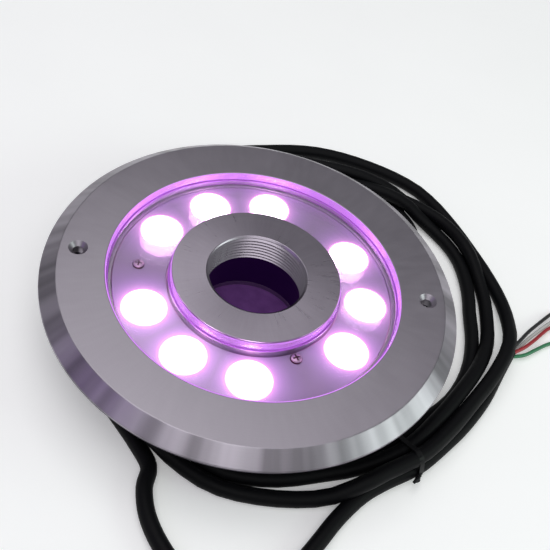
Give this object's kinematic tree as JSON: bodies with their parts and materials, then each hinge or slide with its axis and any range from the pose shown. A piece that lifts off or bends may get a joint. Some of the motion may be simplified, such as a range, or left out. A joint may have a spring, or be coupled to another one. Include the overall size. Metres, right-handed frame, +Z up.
{
  "type": "underwater pond light",
  "caption": "Ring-shaped underwater fountain light: stainless face ring, flush glass window over a circle of lit lenses, threaded nozzle sleeve in the middle, side gland and coiled cable.",
  "frame": {"origin": "centre of the base plate's underside, on the nozzle bore's axis", "axes": "+Z up along the nozzle bore and out of the lit face, +X through one of the two mounting holes in the face ring"},
  "size_m": [0.2786, 0.2907, 0.041],
  "materials": {
    "face_steel": "satin, lathe turned",
    "housing_steel": "satin",
    "screw_steel": "satin",
    "window_glass": "polished",
    "seal_rubber": "matte",
    "clear_sealant": "satin",
    "plate_aluminium": "satin",
    "brass_standoff": "satin",
    "lens_acrylic": "clear, lit magenta-white",
    "holder_plastic": "gloss",
    "led_emitter": "matte",
    "led_board_white": "satin",
    "thermal_silicone": "matte",
    "spreader_aluminium": "machined",
    "driver_board_green": "satin",
    "ferrite": "matte",
    "capacitor_can": "satin",
    "chip_epoxy": "matte",
    "terminal_plastic": "satin",
    "core_insulation": "gloss",
    "gland_nylon": "satin",
    "cable_rubber": "satin",
    "tie_plastic": "gloss"
  },
  "bodies": {
    "root": {"face_ring": "face_steel", "glass_window": "window_glass", "outer_glass_gasket": "seal_rubber", "inner_glass_gasket": "seal_rubber", "window_sealant": "clear_sealant", "nozzle_sleeve": "face_steel", "housing_shell": "housing_steel", "housing_o_ring": "seal_rubber", "ring_screws": "screw_steel", "base_plate": "housing_steel", "base_o_ring": "seal_rubber", "base_screws": "screw_steel", "sleeve_o_ring": "seal_rubber", "sleeve_screws": "screw_steel", "lens_plate": "plate_aluminium", "lens_plate_screws": "screw_steel", "lens_plate_posts": "brass_standoff", "lens_1": "lens_acrylic", "lens_2": "lens_acrylic", "lens_3": "lens_acrylic", "lens_4": "lens_acrylic", "lens_5": "lens_acrylic", "lens_6": "lens_acrylic", "lens_7": "lens_acrylic", "lens_8": "lens_acrylic", "lens_9": "lens_acrylic", "lens_holders": "holder_plastic", "led_1": "led_emitter", "led_2": "led_emitter", "led_3": "led_emitter", "led_4": "led_emitter", "led_5": "led_emitter", "led_6": "led_emitter", "led_7": "led_emitter", "led_8": "led_emitter", "led_9": "led_emitter", "led_board": "led_board_white", "thermal_pad": "thermal_silicone", "heat_spreader": "spreader_aluminium", "spreader_posts": "brass_standoff", "spreader_screws": "screw_steel", "driver_board": "driver_board_green", "driver_spacers": "brass_standoff", "driver_screws": "screw_steel", "driver_inductors": "ferrite", "driver_capacitors": "capacitor_can", "driver_chips": "chip_epoxy", "wire_terminal": "terminal_plastic", "inner_cores": "core_insulation", "led_wires": "core_insulation", "gland_body": "gland_nylon", "gland_o_ring": "seal_rubber", "gland_seal": "seal_rubber", "gland_nut": "gland_nylon", "cable_lead": "cable_rubber", "cable_coil": "cable_rubber", "cable_loop": "cable_rubber", "cable_cores": "core_insulation", "coil_tie": "tie_plastic"}
  },
  "joints": []
}
